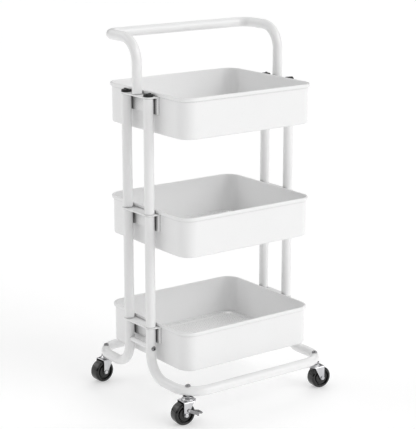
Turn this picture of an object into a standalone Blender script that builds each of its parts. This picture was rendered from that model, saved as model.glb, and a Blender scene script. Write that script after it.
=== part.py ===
"""Rolling utility cart: three pressed baskets on a bent-tube frame with four swivel casters.

Metres, +Z up. The origin is on the floor, under the middle of the cart. X runs along the
length of the cart, and the hand rail stands back from the middle toward +Y.
"""

from math import acos, atan2, cos, degrees, pi, radians, sin

import bmesh
import bpy
from mathutils import Matrix, Vector

MM = 0.001
GAP = 0.3 * MM

# Tubes: one size for legs, posts and hand rail
TUBE_R = 11.0 * MM
TUBE_WALL = 1.2 * MM
TUBE_SIDES = 12
POST_X = 191.6 * MM
POST_Y = 42.0 * MM
STUD_R = 4.0 * MM
STUD_LENGTH = 14.0 * MM
PLUG_DEPTH = 16.0 * MM
M6_R = 3.0 * MM

# Baskets
RIM_HEIGHTS = {"bottom": 196.0 * MM, "middle": 451.0 * MM, "top": 706.0 * MM}
BASKET_HALF_X = 174.2 * MM
BASKET_HALF_Y = 149.3 * MM
BASKET_CORNER_R = 31.5 * MM
BASKET_DEPTH = 89.0 * MM
BASKET_FOOT_R = 4.0 * MM
SHEET = 1.2 * MM
RIM_REACH = 3.8 * MM
RIM_TALL = 8.0 * MM

# Brackets: a flat plate over a shallow channel, one pair for each basket
PLATE_DROP = 8.0 * MM
PLATE_THICK = 3.0 * MM
PLATE_ROUND_R = 12.5 * MM
CHANNEL_DEPTH = 46.0 * MM
CHANNEL_HALF_Y = 57.0 * MM
CHANNEL_FACE_X = 179.4 * MM
CHANNEL_SHEET = 1.5 * MM

# Base tubes
BASE_Z = 73.5 * MM
BASE_BEND_R = 52.0 * MM
BASE_RUN_Y = 183.5 * MM
BASE_CORNER_R = 56.0 * MM
STEM_ANGLE = radians(40.0)
BAR_Z = 140.0 * MM
BAR_R = 6.0 * MM

# Hand rail
RAIL_Z = 815.0 * MM
RAIL_Y = 120.0 * MM
RAIL_BEND_R = 52.0 * MM
RAIL_CORNER_R = 30.0 * MM

# Knobs
KNOB_R = 11.0 * MM
KNOB_DISC = 5.0 * MM
KNOB_WING = 2.0 * MM

# Casters, in each caster's own frame: x points from the swivel axis toward the wheel
WHEEL_R = 25.0 * MM
WHEEL_HALF_WIDTH = 12.5 * MM
WHEEL_SIDES = 20
TRAIL = 13.0 * MM
CROWN_Z = 52.2 * MM
FORK_SHEET = 1.6 * MM
FORK_INNER = 14.0 * MM
CROWN_NOSE_R = 17.5 * MM
STEM_FLANGE_Z = 60.4 * MM
LEVER_INNER = FORK_INNER + FORK_SHEET + GAP
LEVER_SHEET = 1.2 * MM
LEVER_PIVOT_X = TRAIL - 6.5 * MM
LEVER_PIVOT_Z = 34.0 * MM
PEDAL_THICK = 3.4 * MM
PEDAL_LENGTH = 17.0 * MM
PEDAL_SLOPE = radians(10.8)

PAINT = ("white_powder_coat", (0.86, 0.86, 0.86), 0.35, 0.0)
ZINC = ("bright_zinc_steel", (0.72, 0.72, 0.73), 0.25, 1.0)
DARK_STEEL = ("dark_plated_steel", (0.20, 0.20, 0.21), 0.40, 1.0)
RUBBER = ("black_wheel_rubber", (0.02, 0.02, 0.02), 0.60, 0.0)
KNOB_PLASTIC = ("black_knob_plastic", (0.02, 0.02, 0.02), 0.45, 0.0)


# Scene, collections and materials

def clear_scene():
    for item in list(bpy.data.objects):
        bpy.data.objects.remove(item, do_unlink=True)


def new_collection(name):
    collection = bpy.data.collections.new(name)
    bpy.context.scene.collection.children.link(collection)
    return collection


clear_scene()
CART = new_collection("rolling_utility_cart")
TOOLS = new_collection("cutters")


def material(spec):
    name, colour, roughness, metallic = spec
    existing = bpy.data.materials.get(name)
    if existing:
        return existing
    made = bpy.data.materials.new(name)
    made.use_nodes = True
    shader = made.node_tree.nodes["Principled BSDF"]
    shader.inputs["Base Color"].default_value = (*colour, 1.0)
    shader.inputs["Roughness"].default_value = roughness
    shader.inputs["Metallic"].default_value = metallic
    return made


def place(obj, spec, parent=None):
    """Put a finished sub-part in the cart's collection with its material."""
    CART.objects.link(obj)
    obj.data.materials.append(material(spec))
    obj.data.shade_smooth()
    obj.data.set_sharp_from_angle(angle=radians(35))
    obj.parent = parent
    return obj


def empty(name, location, turn=0.0, parent=None):
    marker = bpy.data.objects.new(name, None)
    marker.location = location
    marker.rotation_euler = (0.0, 0.0, turn)
    marker.parent = parent
    CART.objects.link(marker)
    return marker


# Shape tools

def arc(centre_x, centre_y, radius, start, end, steps):
    """Points of an arc in degrees, both ends included."""
    points = []
    for step in range(steps + 1):
        angle = radians(start + (end - start) * step / steps)
        points.append((centre_x + radius * cos(angle), centre_y + radius * sin(angle)))
    return points


def round_hole(centre_x, centre_y, radius, steps=8):
    """A polygon drawn around a circle, so that its flats clear the circle."""
    return arc(centre_x, centre_y, radius / cos(pi / steps), 0.0, 360.0, steps)[:-1]


def rounded_rectangle(half_x, half_y, radius, steps=4):
    points = []
    for quarter, (side_x, side_y) in enumerate(((1, 1), (-1, 1), (-1, -1), (1, -1))):
        centre_x = side_x * (half_x - radius)
        centre_y = side_y * (half_y - radius)
        points += arc(centre_x, centre_y, radius, 90.0 * quarter, 90.0 * (quarter + 1), steps)
    return points


def mesh_from_curve(name, curve):
    """Turn a curve into one welded closed mesh object."""
    holder = bpy.data.objects.new(name + "_curve", curve)
    TOOLS.objects.link(holder)
    evaluated = holder.evaluated_get(bpy.context.evaluated_depsgraph_get())
    mesh = bpy.data.meshes.new_from_object(evaluated)
    bpy.data.objects.remove(holder, do_unlink=True)
    work = bmesh.new()
    work.from_mesh(mesh)
    bmesh.ops.remove_doubles(work, verts=work.verts, dist=0.00001)
    bmesh.ops.recalc_face_normals(work, faces=work.faces)
    work.to_mesh(mesh)
    work.free()
    return bpy.data.objects.new(name, mesh)


def flat_shape(name, loops, low, high, edge_round=0.0):
    """Extrude an outline, with any holes after it, between two heights."""
    curve = bpy.data.curves.new(name, "CURVE")
    curve.dimensions = "2D"
    curve.fill_mode = "BOTH"
    curve.extrude = (high - low) / 2 - edge_round
    curve.bevel_depth = edge_round
    curve.bevel_resolution = 1
    curve.offset = -edge_round
    for loop in loops:
        spline = curve.splines.new("POLY")
        spline.points.add(len(loop) - 1)
        for point, (x, y) in zip(spline.points, loop):
            point.co = (x, y, 0.0, 1.0)
        spline.use_cyclic_u = True
    obj = mesh_from_curve(name, curve)
    obj.data.transform(Matrix.Translation((0.0, 0.0, (high + low) / 2)))
    return obj


def upright_shape(name, loops, near, far):
    """Extrude an outline drawn in X and Z between two Y values."""
    obj = flat_shape(name, loops, -far, -near)
    obj.data.transform(Matrix.Rotation(radians(90.0), 4, "X"))
    return obj


def turned(name, profile, steps=TUBE_SIDES, closed=False):
    """Turn a profile of (radius, height) points about the Z axis."""
    mesh = bpy.data.meshes.new(name)
    work = bmesh.new()
    corners = [work.verts.new((radius, 0.0, height)) for radius, height in profile]
    for first, second in zip(corners, corners[1:]):
        work.edges.new((first, second))
    if closed:
        work.edges.new((corners[-1], corners[0]))
    work.to_mesh(mesh)
    work.free()
    obj = bpy.data.objects.new(name, mesh)
    screw = obj.modifiers.new("turn", "SCREW")
    screw.axis = "Z"
    screw.steps = steps
    screw.render_steps = steps
    screw.use_merge_vertices = True
    screw.merge_threshold = 0.00001
    screw.use_smooth_shade = True
    return obj


def cylinder(name, radius, start, end, sides=TUBE_SIDES):
    """A capped cylinder from one point to another."""
    start, end = Vector(start), Vector(end)
    mesh = bpy.data.meshes.new(name)
    work = bmesh.new()
    bmesh.ops.create_cone(work, cap_ends=True, segments=sides, radius1=radius,
                          radius2=radius, depth=(end - start).length)
    direction = (end - start).to_track_quat("Z", "Y").to_matrix().to_4x4()
    bmesh.ops.transform(work, matrix=Matrix.Translation((start + end) / 2) @ direction,
                        verts=work.verts)
    work.to_mesh(mesh)
    work.free()
    return bpy.data.objects.new(name, mesh)


def box(name, low, high):
    low, high = Vector(low), Vector(high)
    mesh = bpy.data.meshes.new(name)
    work = bmesh.new()
    bmesh.ops.create_cube(work, size=1.0)
    bmesh.ops.scale(work, vec=high - low, verts=work.verts)
    bmesh.ops.translate(work, vec=(low + high) / 2, verts=work.verts)
    work.to_mesh(mesh)
    work.free()
    return bpy.data.objects.new(name, mesh)


def combine(obj, tool, operation):
    """Join a tool to a piece, or cut the piece with it, by an exact Boolean."""
    TOOLS.objects.link(tool)
    tool.hide_render = True
    tool.display_type = "WIRE"
    boolean = obj.modifiers.new(tool.name, "BOOLEAN")
    boolean.operation = operation
    boolean.object = tool
    boolean.solver = "EXACT"


def cut(obj, tool, parent=None):
    tool.parent = parent
    combine(obj, tool, "DIFFERENCE")


def join(obj, tool, parent=None):
    tool.parent = parent
    combine(obj, tool, "UNION")


# Bent tubes

def bend_route(corners, radii, steps=4):
    """Follow a chain of corners, each inner one rounded with its own bend radius."""
    points = [Vector(corners[0])]
    for index, radius in enumerate(radii, start=1):
        corner = Vector(corners[index])
        back = (Vector(corners[index - 1]) - corner).normalized()
        ahead = (Vector(corners[index + 1]) - corner).normalized()
        centre = corner + (back + ahead) * radius
        for step in range(steps + 1):
            angle = pi / 2 * step / steps
            points.append(centre - ahead * radius * cos(angle) - back * radius * sin(angle))
    points.append(Vector(corners[-1]))
    return points


def bent_tube(name, route):
    """A hollow tube along a route, open at both ends."""
    curve = bpy.data.curves.new(name, "CURVE")
    curve.dimensions = "3D"
    curve.bevel_depth = TUBE_R
    curve.bevel_resolution = TUBE_SIDES // 2 - 2
    curve.use_fill_caps = False
    spline = curve.splines.new("POLY")
    spline.points.add(len(route) - 1)
    for point, place_at in zip(spline.points, route):
        point.co = (*place_at, 1.0)
    obj = mesh_from_curve(name, curve)
    shell = obj.modifiers.new("wall", "SOLIDIFY")
    shell.thickness = TUBE_WALL
    shell.offset = -1.0
    shell.use_even_offset = True
    return obj


def add_end_plug(tube, name, mouth_z, inward, centre_x, centre_y, bore_r):
    """Weld a threaded plug into an upright end of a tube."""
    start = (centre_x, centre_y, mouth_z + inward * 0.5 * MM)
    end = (centre_x, centre_y, mouth_z + inward * PLUG_DEPTH)
    join(tube, cylinder(name, TUBE_R - TUBE_WALL / 2, start, end))
    bore_start = (centre_x, centre_y, mouth_z - inward * 2 * MM)
    bore_end = (centre_x, centre_y, mouth_z + inward * (PLUG_DEPTH + 2 * MM))
    cut(tube, cylinder(name + "_bore", bore_r, bore_start, bore_end))


# The caster stems stand on the corners of the base tubes, part of the way round the bend
CASTER_X = POST_X - BASE_CORNER_R * (1 - cos(STEM_ANGLE))
CASTER_Y = BASE_RUN_Y - BASE_CORNER_R * (1 - sin(STEM_ANGLE))
PLATE_UNDER = -PLATE_DROP - PLATE_THICK


def build_base_tube(name, side):
    leg_top = RIM_HEIGHTS["bottom"] + PLATE_UNDER - GAP
    corners = []
    for end in (-1, 1):
        leg = [
            (end * POST_X, side * POST_Y, leg_top),
            (end * POST_X, side * POST_Y, BASE_Z),
            (end * POST_X, side * BASE_RUN_Y, BASE_Z),
        ]
        corners += leg if end < 0 else leg[::-1]
    radii = (BASE_BEND_R, BASE_CORNER_R, BASE_CORNER_R, BASE_BEND_R)
    tube = bent_tube(name, bend_route(corners, radii))
    for end in (-1, 1):
        tag = f"{name}_{'left' if end < 0 else 'right'}"
        x, y = end * POST_X, side * POST_Y
        add_end_plug(tube, tag + "_plug", leg_top, -1, x, y, STUD_R + GAP)
        reach = TUBE_R + 2 * MM
        cut(tube, cylinder(tag + "_screw_hole", M6_R + GAP, (x, y - reach, BAR_Z),
                           (x, y + reach, BAR_Z)))
        stem_x, stem_y = end * CASTER_X, side * CASTER_Y
        cut(tube, cylinder(tag + "_stem_hole", STUD_R + GAP,
                           (stem_x, stem_y, BASE_Z - reach), (stem_x, stem_y, BASE_Z + reach)))
    place(tube, PAINT)


def build_cross_bar(name, end):
    """The round bar between the two legs of one end, coped to fit them."""
    x = end * POST_X
    bar = cylinder(name, BAR_R, (x, -POST_Y, BAR_Z), (x, POST_Y, BAR_Z))
    for side in (-1, 1):
        tag = f"{name}_{'front' if side < 0 else 'rear'}"
        y = side * POST_Y
        cut(bar, cylinder(tag + "_cope", TUBE_R + GAP, (x, y, BAR_Z - 12 * MM),
                          (x, y, BAR_Z + 12 * MM), 16))
        cut(bar, cylinder(tag + "_thread", M6_R + GAP, (x, side * 12 * MM, BAR_Z),
                          (x, y, BAR_Z)))
    place(bar, PAINT)


def screw_profile(head_r, head_tall, shank_length):
    """A pan-head screw whose head stands above z = 0 and whose shank points down."""
    return [
        (0.0, head_tall),
        (head_r * 0.65, head_tall * 0.85),
        (head_r, head_tall * 0.4),
        (head_r, 0.0),
        (M6_R, 0.0),
        (M6_R, -shank_length),
        (0.0, -shank_length),
    ]


def build_bar_screw(name, end, side):
    screw = turned(name, screw_profile(5.5 * MM, 3.6 * MM, 2 * TUBE_R + 12 * MM))
    screw.location = (end * POST_X, side * (POST_Y + TUBE_R + GAP), BAR_Z)
    screw.rotation_euler = (-side * pi / 2, 0.0, 0.0)
    place(screw, DARK_STEEL)


# Posts

def build_post(name, end, side, low, high, top_bore):
    """A straight tube with a stud at its foot and a threaded plug at its head."""
    inner = TUBE_R - TUBE_WALL
    foot_plug = 8 * MM
    length = high - low
    profile = [
        (0.0, foot_plug),
        (inner, foot_plug),
        (inner, length - PLUG_DEPTH),
        (top_bore, length - PLUG_DEPTH),
        (top_bore, length),
        (TUBE_R, length),
        (TUBE_R, 0.0),
        (STUD_R, 0.0),
        (STUD_R, -STUD_LENGTH),
        (0.0, -STUD_LENGTH),
    ]
    post = turned(name, profile)
    post.location = (end * POST_X, side * POST_Y, low)
    place(post, PAINT)


# Baskets

def build_basket(name, rim_z):
    """A deep tray: an open pressed shell whose edge runs into a rolled rim."""
    floor_z = rim_z - BASKET_DEPTH
    wall_top = rim_z - 1.5 * MM
    mesh = bpy.data.meshes.new(name)
    work = bmesh.new()
    bmesh.ops.create_cube(work, size=1.0)
    bmesh.ops.scale(work, vec=(2 * BASKET_HALF_X, 2 * BASKET_HALF_Y, wall_top - floor_z),
                    verts=work.verts)
    bmesh.ops.translate(work, vec=(0.0, 0.0, (wall_top + floor_z) / 2), verts=work.verts)
    lid = [face for face in work.faces if face.normal.z > 0.9]
    bmesh.ops.delete(work, geom=lid, context="FACES_ONLY")
    upright = [edge for edge in work.edges
               if abs(edge.verts[0].co.z - edge.verts[1].co.z) > BASKET_DEPTH / 2]
    bmesh.ops.bevel(work, geom=upright, offset=BASKET_CORNER_R, segments=4, profile=0.5,
                    affect="EDGES", offset_type="OFFSET")
    foot = [edge for edge in work.edges
            if all(vert.co.z < floor_z + MM for vert in edge.verts) and len(edge.link_faces) == 2]
    bmesh.ops.bevel(work, geom=foot, offset=BASKET_FOOT_R, segments=2, profile=0.5,
                    affect="EDGES", offset_type="OFFSET")
    work.to_mesh(mesh)
    work.free()
    basket = bpy.data.objects.new(name, mesh)
    shell = basket.modifiers.new("sheet", "SOLIDIFY")
    shell.thickness = SHEET
    shell.offset = -1.0
    shell.use_even_offset = True
    inset = SHEET / 2
    loops = [
        rounded_rectangle(BASKET_HALF_X + RIM_REACH, BASKET_HALF_Y + RIM_REACH,
                          BASKET_CORNER_R + RIM_REACH),
        rounded_rectangle(BASKET_HALF_X - inset, BASKET_HALF_Y - inset,
                          BASKET_CORNER_R - inset),
    ]
    join(basket, flat_shape(name + "_rim", loops, rim_z - RIM_TALL, rim_z, 1.8 * MM))
    place(basket, PAINT)


# Brackets

def plate_outline():
    """The right-hand plate: round over each post, straight along the basket wall."""
    inner_x = BASKET_HALF_X + GAP
    flare = Vector((CHANNEL_FACE_X - POST_X, CHANNEL_HALF_Y - POST_Y))
    lean = atan2(flare.y, flare.x) - acos(PLATE_ROUND_R / flare.length)
    tangent = degrees(lean)
    front = arc(POST_X, -POST_Y, PLATE_ROUND_R, -tangent, 0.0, 4)
    rear = arc(POST_X, POST_Y, PLATE_ROUND_R, 0.0, tangent, 4)
    return [
        (inner_x, -CHANNEL_HALF_Y),
        (CHANNEL_FACE_X, -CHANNEL_HALF_Y),
        *front,
        *rear,
        (CHANNEL_FACE_X, CHANNEL_HALF_Y),
        (inner_x, CHANNEL_HALF_Y),
    ]


def channel_outline():
    """The right-hand channel from above: a back plate with a flange at each end."""
    inner_x = BASKET_HALF_X + GAP
    bend = 2.5 * MM
    inner_bend = bend - CHANNEL_SHEET
    corner_x = CHANNEL_FACE_X - bend
    corner_y = CHANNEL_HALF_Y - bend
    return [
        (inner_x, -CHANNEL_HALF_Y),
        *arc(corner_x, -corner_y, bend, -90.0, 0.0, 2),
        *arc(corner_x, corner_y, bend, 0.0, 90.0, 2),
        (inner_x, CHANNEL_HALF_Y),
        (inner_x, CHANNEL_HALF_Y - CHANNEL_SHEET),
        *arc(corner_x, corner_y, inner_bend, 90.0, 0.0, 1),
        *arc(corner_x, -corner_y, inner_bend, 0.0, -90.0, 1),
        (inner_x, -CHANNEL_HALF_Y + CHANNEL_SHEET),
    ]


def build_bracket(name, rim_z, end, post_hole_r, rail_hole):
    plate_top = rim_z - PLATE_DROP
    plate_low = rim_z + PLATE_UNDER
    holes = [round_hole(POST_X, side * POST_Y, post_hole_r) for side in (-1, 1)]
    if rail_hole:
        holes.append(round_hole(POST_X, 0.0, M6_R + GAP))
    bracket = flat_shape(name, [plate_outline(), *holes], plate_low, plate_top)
    channel = flat_shape(name + "_channel", [channel_outline()],
                         rim_z - CHANNEL_DEPTH, plate_low + PLATE_THICK / 2)
    if end < 0:
        half_turn = Matrix.Rotation(pi, 4, "Z")
        bracket.data.transform(half_turn)
        channel.data.transform(half_turn)
    join(bracket, channel)
    place(bracket, PAINT)


# Hand rail and its screws

def build_hand_rail():
    foot_z = RIM_HEIGHTS["top"] - PLATE_DROP + GAP
    corners = [
        (-POST_X, 0.0, foot_z),
        (-POST_X, 0.0, RAIL_Z),
        (-POST_X, RAIL_Y, RAIL_Z),
        (POST_X, RAIL_Y, RAIL_Z),
        (POST_X, 0.0, RAIL_Z),
        (POST_X, 0.0, foot_z),
    ]
    radii = (RAIL_BEND_R, RAIL_CORNER_R, RAIL_CORNER_R, RAIL_BEND_R)
    rail = bent_tube("handle_tube", bend_route(corners, radii))
    for end, tag in ((-1, "left"), (1, "right")):
        add_end_plug(rail, f"handle_{tag}_plug", foot_z, 1, end * POST_X, 0.0, M6_R + GAP)
    place(rail, PAINT)


def build_rail_screw(name, end):
    screw = turned(name, screw_profile(5.5 * MM, 3.4 * MM, PLATE_THICK + 14 * MM))
    screw.location = (end * POST_X, 0.0, RIM_HEIGHTS["top"] + PLATE_UNDER - GAP)
    screw.rotation_euler = (pi, 0.0, 0.0)
    place(screw, DARK_STEEL)


# Knobs

def build_knob(name, end, side, wing_angle):
    """A flat thumb screw with a raised wing, clamping the plate onto its post."""
    profile = [
        (0.0, KNOB_DISC),
        (KNOB_R - 2.5 * MM, KNOB_DISC),
        (KNOB_R, KNOB_DISC - 2.0 * MM),
        (KNOB_R, 0.0),
        (M6_R, 0.0),
        (M6_R, -PLATE_THICK - 12 * MM),
        (0.0, -PLATE_THICK - 12 * MM),
    ]
    knob = turned(name, profile)
    seat = RIM_HEIGHTS["top"] - PLATE_DROP + GAP
    knob.location = (end * POST_X, side * POST_Y, seat)
    knob.rotation_euler = (0.0, 0.0, wing_angle)
    outline = rounded_rectangle(KNOB_R - 1.5 * MM, 3.2 * MM, 3.1 * MM, 2)
    wing = flat_shape(name + "_wing", [outline], KNOB_DISC - 2.0 * MM, KNOB_DISC + KNOB_WING)
    join(knob, wing, knob)
    place(knob, KNOB_PLASTIC)


# Casters

def build_stem(name, pivot):
    profile = [
        (0.0, 87.2 * MM),
        (STUD_R, 87.2 * MM),
        (STUD_R, BASE_Z - TUBE_R - GAP),
        (11.5 * MM, BASE_Z - TUBE_R - GAP),
        (11.5 * MM, STEM_FLANGE_Z),
        (STUD_R, STEM_FLANGE_Z),
        (STUD_R, CROWN_Z - GAP),
        (6.0 * MM, CROWN_Z - GAP),
        (6.0 * MM, CROWN_Z - 1.6 * MM),
        (0.0, CROWN_Z - 1.6 * MM),
    ]
    stem = turned(name, profile)
    stem.location = pivot
    place(stem, ZINC)


def build_cap_nut(name, pivot):
    seat = BASE_Z + TUBE_R + GAP
    bore_top = 87.5 * MM
    profile = [
        (0.0, bore_top),
        (STUD_R + GAP, bore_top),
        (STUD_R + GAP, seat),
        (6.4 * MM, seat),
        (6.4 * MM, seat + 2.0 * MM),
        (5.2 * MM, seat + 3.3 * MM),
        (2.6 * MM, seat + 4.0 * MM),
        (0.0, seat + 4.2 * MM),
    ]
    nut = turned(name, profile[::-1])
    nut.location = pivot
    place(nut, DARK_STEEL)


def build_race(name, swivel):
    """The domed ball race that turns with the fork under the stem's flange."""
    low = CROWN_Z + FORK_SHEET + GAP
    high = STEM_FLANGE_Z - GAP
    profile = [
        (STUD_R + GAP, low),
        (STUD_R + GAP, high),
        (10.0 * MM, high),
        (13.0 * MM, high - 1.6 * MM),
        (14.5 * MM, high - 3.8 * MM),
        (14.5 * MM, low),
    ]
    race = turned(name, profile, closed=True)
    place(race, ZINC, swivel)


def build_fork(name, swivel, braked):
    """A folded sheet fork: a crown with two tapered legs down to the axle."""
    half_width = FORK_INNER + FORK_SHEET
    back = TRAIL + 5.0 * MM
    nose_turn = degrees(acos(half_width / CROWN_NOSE_R))
    nose = arc(0.0, 0.0, CROWN_NOSE_R, 90.0 + nose_turn, 270.0 - nose_turn, 5)
    crown_loops = [
        [*nose, (back, -half_width), (back, half_width)],
        round_hole(0.0, 0.0, STUD_R + GAP),
    ]
    fork = flat_shape(name, crown_loops, CROWN_Z, CROWN_Z + FORK_SHEET)
    leg = [
        (-8.0 * MM, CROWN_Z + FORK_SHEET / 2),
        *arc(TRAIL, WHEEL_R, 5.0 * MM, 205.0, 360.0, 5),
        (back, CROWN_Z + FORK_SHEET / 2),
    ]
    holes = [round_hole(TRAIL, WHEEL_R, M6_R + GAP)]
    for side, tag in ((-1, "near"), (1, "far")):
        near, far = sorted((side * FORK_INNER, side * half_width))
        join(fork, upright_shape(f"{name}_leg_{tag}", [leg, *holes], near, far), swivel)
        if braked:
            start = (LEVER_PIVOT_X, side * (half_width - FORK_SHEET / 2), LEVER_PIVOT_Z)
            end = (LEVER_PIVOT_X, side * (LEVER_INNER + LEVER_SHEET + 0.8 * MM), LEVER_PIVOT_Z)
            join(fork, cylinder(f"{name}_pivot_{tag}", 2.0 * MM, start, end, 8), swivel)
    place(fork, ZINC, swivel)


def build_wheel(name, swivel):
    """A solid wheel with a recessed web, a hub and rounded shoulders."""
    rim = WHEEL_R / cos(pi / WHEEL_SIDES)
    width = WHEEL_HALF_WIDTH
    hub = width + 1.2 * MM
    side = [
        (rim, width - 3.0 * MM),
        (rim - 2.5 * MM, width),
        (17.0 * MM, width),
        (16.0 * MM, width - 3.0 * MM),
        (7.0 * MM, width - 3.0 * MM),
        (7.0 * MM, hub),
        (M6_R + GAP, hub),
    ]
    mirrored = [(radius, -height) for radius, height in side]
    wheel = turned(name, mirrored[::-1] + side, WHEEL_SIDES, closed=True)
    flip = Matrix.Rotation(pi, 4, "X")
    wheel.data.transform(flip)
    wheel.location = (TRAIL, 0.0, WHEEL_R)
    wheel.rotation_euler = (pi / 2, pi / 2 + pi / WHEEL_SIDES, 0.0)
    wheel.rotation_mode = "XYZ"
    place(wheel, RUBBER, swivel)


def build_axle(name, swivel, braked):
    inner = LEVER_INNER + LEVER_SHEET + GAP if braked else FORK_INNER + FORK_SHEET + GAP
    outer = inner + 2.4 * MM
    head = 4.6 * MM
    profile = [
        (0.0, outer),
        (head * 0.7, outer),
        (head, inner + 1.2 * MM),
        (head, inner),
        (M6_R, inner),
        (M6_R, -inner),
        (head, -inner),
        (head, -inner - 1.2 * MM),
        (head * 0.7, -outer),
        (0.0, -outer),
    ]
    axle = turned(name, profile)
    axle.location = (TRAIL, 0.0, WHEEL_R)
    axle.rotation_euler = (pi / 2, 0.0, 0.0)
    place(axle, ZINC, swivel)


def build_brake_lever(name, swivel):
    """A stamped pedal ahead of the wheel, with an arm to a rivet on each fork leg."""
    pivot = empty(name + "_pivot", (LEVER_PIVOT_X, 0.0, LEVER_PIVOT_Z), parent=swivel)
    pad_far, pad_near = -24.2 * MM, -22.0 * MM
    half_width = LEVER_INNER + LEVER_SHEET
    pedal_half = 11.0 * MM
    corner = 6.0 * MM
    outline = [
        (0.0, -pedal_half),
        (0.0, pedal_half),
        *arc(corner - PEDAL_LENGTH, pedal_half - corner, corner, 90.0, 180.0, 3),
        *arc(corner - PEDAL_LENGTH, corner - pedal_half, corner, 180.0, 270.0, 3),
    ]
    lever = flat_shape(name, [outline], -PEDAL_THICK / 2, PEDAL_THICK / 2)
    pedal_root = Matrix.Translation(((pad_far + pad_near) / 2, 0.0, -11.8 * MM))
    lever.data.transform(pedal_root @ Matrix.Rotation(-PEDAL_SLOPE, 4, "Y"))
    pad_low = (pad_far, -half_width + LEVER_SHEET / 2, -16.4 * MM)
    pad_high = (pad_near, half_width - LEVER_SHEET / 2, -8.2 * MM)
    join(lever, box(name + "_pad", pad_low, pad_high), pivot)
    arm = [
        (pad_far - 0.2 * MM, -16.0 * MM),
        *arc(0.0, 0.0, 4.0 * MM, -62.0, 118.0, 6),
        (pad_far - 0.2 * MM, -8.6 * MM),
    ]
    for side, tag in ((-1, "near"), (1, "far")):
        near, far = sorted((side * LEVER_INNER, side * half_width))
        hole = round_hole(0.0, 0.0, 2.0 * MM + GAP)
        join(lever, upright_shape(f"{name}_arm_{tag}", [arm, hole], near, far), pivot)
    place(lever, DARK_STEEL, pivot)


def build_caster(place_name, end, side, turn, braked):
    tag = f"caster_{place_name}"
    pivot = (end * CASTER_X, side * CASTER_Y, 0.0)
    build_stem(f"{tag}_stem", pivot)
    build_cap_nut(f"{tag}_nut", pivot)
    swivel = empty(f"{tag}_swivel", pivot, radians(turn))
    build_race(f"{tag}_race", swivel)
    build_fork(f"{tag}_fork", swivel, braked)
    build_wheel(f"{tag}_wheel", swivel)
    build_axle(f"{tag}_axle", swivel, braked)
    if braked:
        build_brake_lever(f"{tag}_brake_lever", swivel)


ENDS = (("left", -1), ("right", 1))
SIDES = (("front", -1), ("rear", 1))

for side_name, side in SIDES:
    build_base_tube(f"base_tube_{side_name}", side)

for end_name, end in ENDS:
    build_cross_bar(f"cross_bar_{end_name}", end)
    for side_name, side in SIDES:
        build_bar_screw(f"cross_bar_screw_{side_name}_{end_name}", end, side)

for tier, rim_z in RIM_HEIGHTS.items():
    build_basket(f"basket_{tier}", rim_z)
    is_top = tier == "top"
    hole_r = M6_R + GAP if is_top else STUD_R + GAP
    for end_name, end in ENDS:
        build_bracket(f"bracket_{tier}_{end_name}", rim_z, end, hole_r, is_top)

for end_name, end in ENDS:
    for side_name, side in SIDES:
        where = f"{side_name}_{end_name}"
        for level, below, above, bore in (("middle", "bottom", "middle", STUD_R + GAP),
                                          ("upper", "middle", "top", M6_R + GAP)):
            low = RIM_HEIGHTS[below] - PLATE_DROP + GAP
            high = RIM_HEIGHTS[above] + PLATE_UNDER - GAP
            build_post(f"{level}_post_{where}", end, side, low, high, bore)

build_hand_rail()
for end_name, end in ENDS:
    build_rail_screw(f"handle_screw_{end_name}", end)

for place_name, end, side, wing in (("front_left", -1, -1, 25), ("rear_left", -1, 1, 80),
                                    ("front_right", 1, -1, -15), ("rear_right", 1, 1, 40)):
    build_knob(f"clamp_knob_{place_name}", end, side, radians(wing))

for place_name, end, side, turn, braked in (("front_left", -1, -1, 174, True),
                                            ("rear_left", -1, 1, 184, False),
                                            ("front_right", 1, -1, -6, False),
                                            ("rear_right", 1, 1, 6, True)):
    build_caster(place_name, end, side, turn, braked)
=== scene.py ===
from math import atan2, cos, pi, radians, sin, sqrt, tan

import bmesh
import bpy
from mathutils import Matrix, Vector


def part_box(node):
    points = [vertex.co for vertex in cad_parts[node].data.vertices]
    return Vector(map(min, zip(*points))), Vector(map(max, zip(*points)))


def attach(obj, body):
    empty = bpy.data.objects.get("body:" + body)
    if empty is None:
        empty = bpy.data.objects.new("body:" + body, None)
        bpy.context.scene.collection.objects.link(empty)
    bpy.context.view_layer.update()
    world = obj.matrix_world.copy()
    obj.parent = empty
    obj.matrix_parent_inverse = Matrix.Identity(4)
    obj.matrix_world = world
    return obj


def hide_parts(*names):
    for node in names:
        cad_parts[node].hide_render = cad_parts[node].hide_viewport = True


# The looks of a rolling utility cart: smooth tubes, pressed baskets with perforated floors,
# folded caster forks and every surface finish. Metres, +Z up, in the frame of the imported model.

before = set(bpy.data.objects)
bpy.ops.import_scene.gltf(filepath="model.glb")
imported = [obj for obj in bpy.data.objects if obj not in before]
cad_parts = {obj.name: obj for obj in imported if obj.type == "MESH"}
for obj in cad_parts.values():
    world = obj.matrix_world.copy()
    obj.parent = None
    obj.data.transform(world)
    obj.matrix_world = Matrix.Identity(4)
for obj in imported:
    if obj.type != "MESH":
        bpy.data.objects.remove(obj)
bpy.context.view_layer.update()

MM = 0.001
GAP = 0.3 * MM
ENDS = (("left", -1), ("right", 1))
SIDES = (("front", -1), ("rear", 1))
TIERS = ("bottom", "middle", "top")
BODY = "cart_frame"

PAINT = "white_powder_coat"
ZINC = "bright_zinc_steel"
DARK_STEEL = "dark_plated_steel"
RUBBER = "black_wheel_rubber"
KNOB_PLASTIC = "black_knob_plastic"


# Sizes and places read from the frame

def low_of(node):
    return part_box(node)[0]


def high_of(node):
    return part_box(node)[1]


def centre_of(node):
    return (low_of(node) + high_of(node)) / 2


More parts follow.
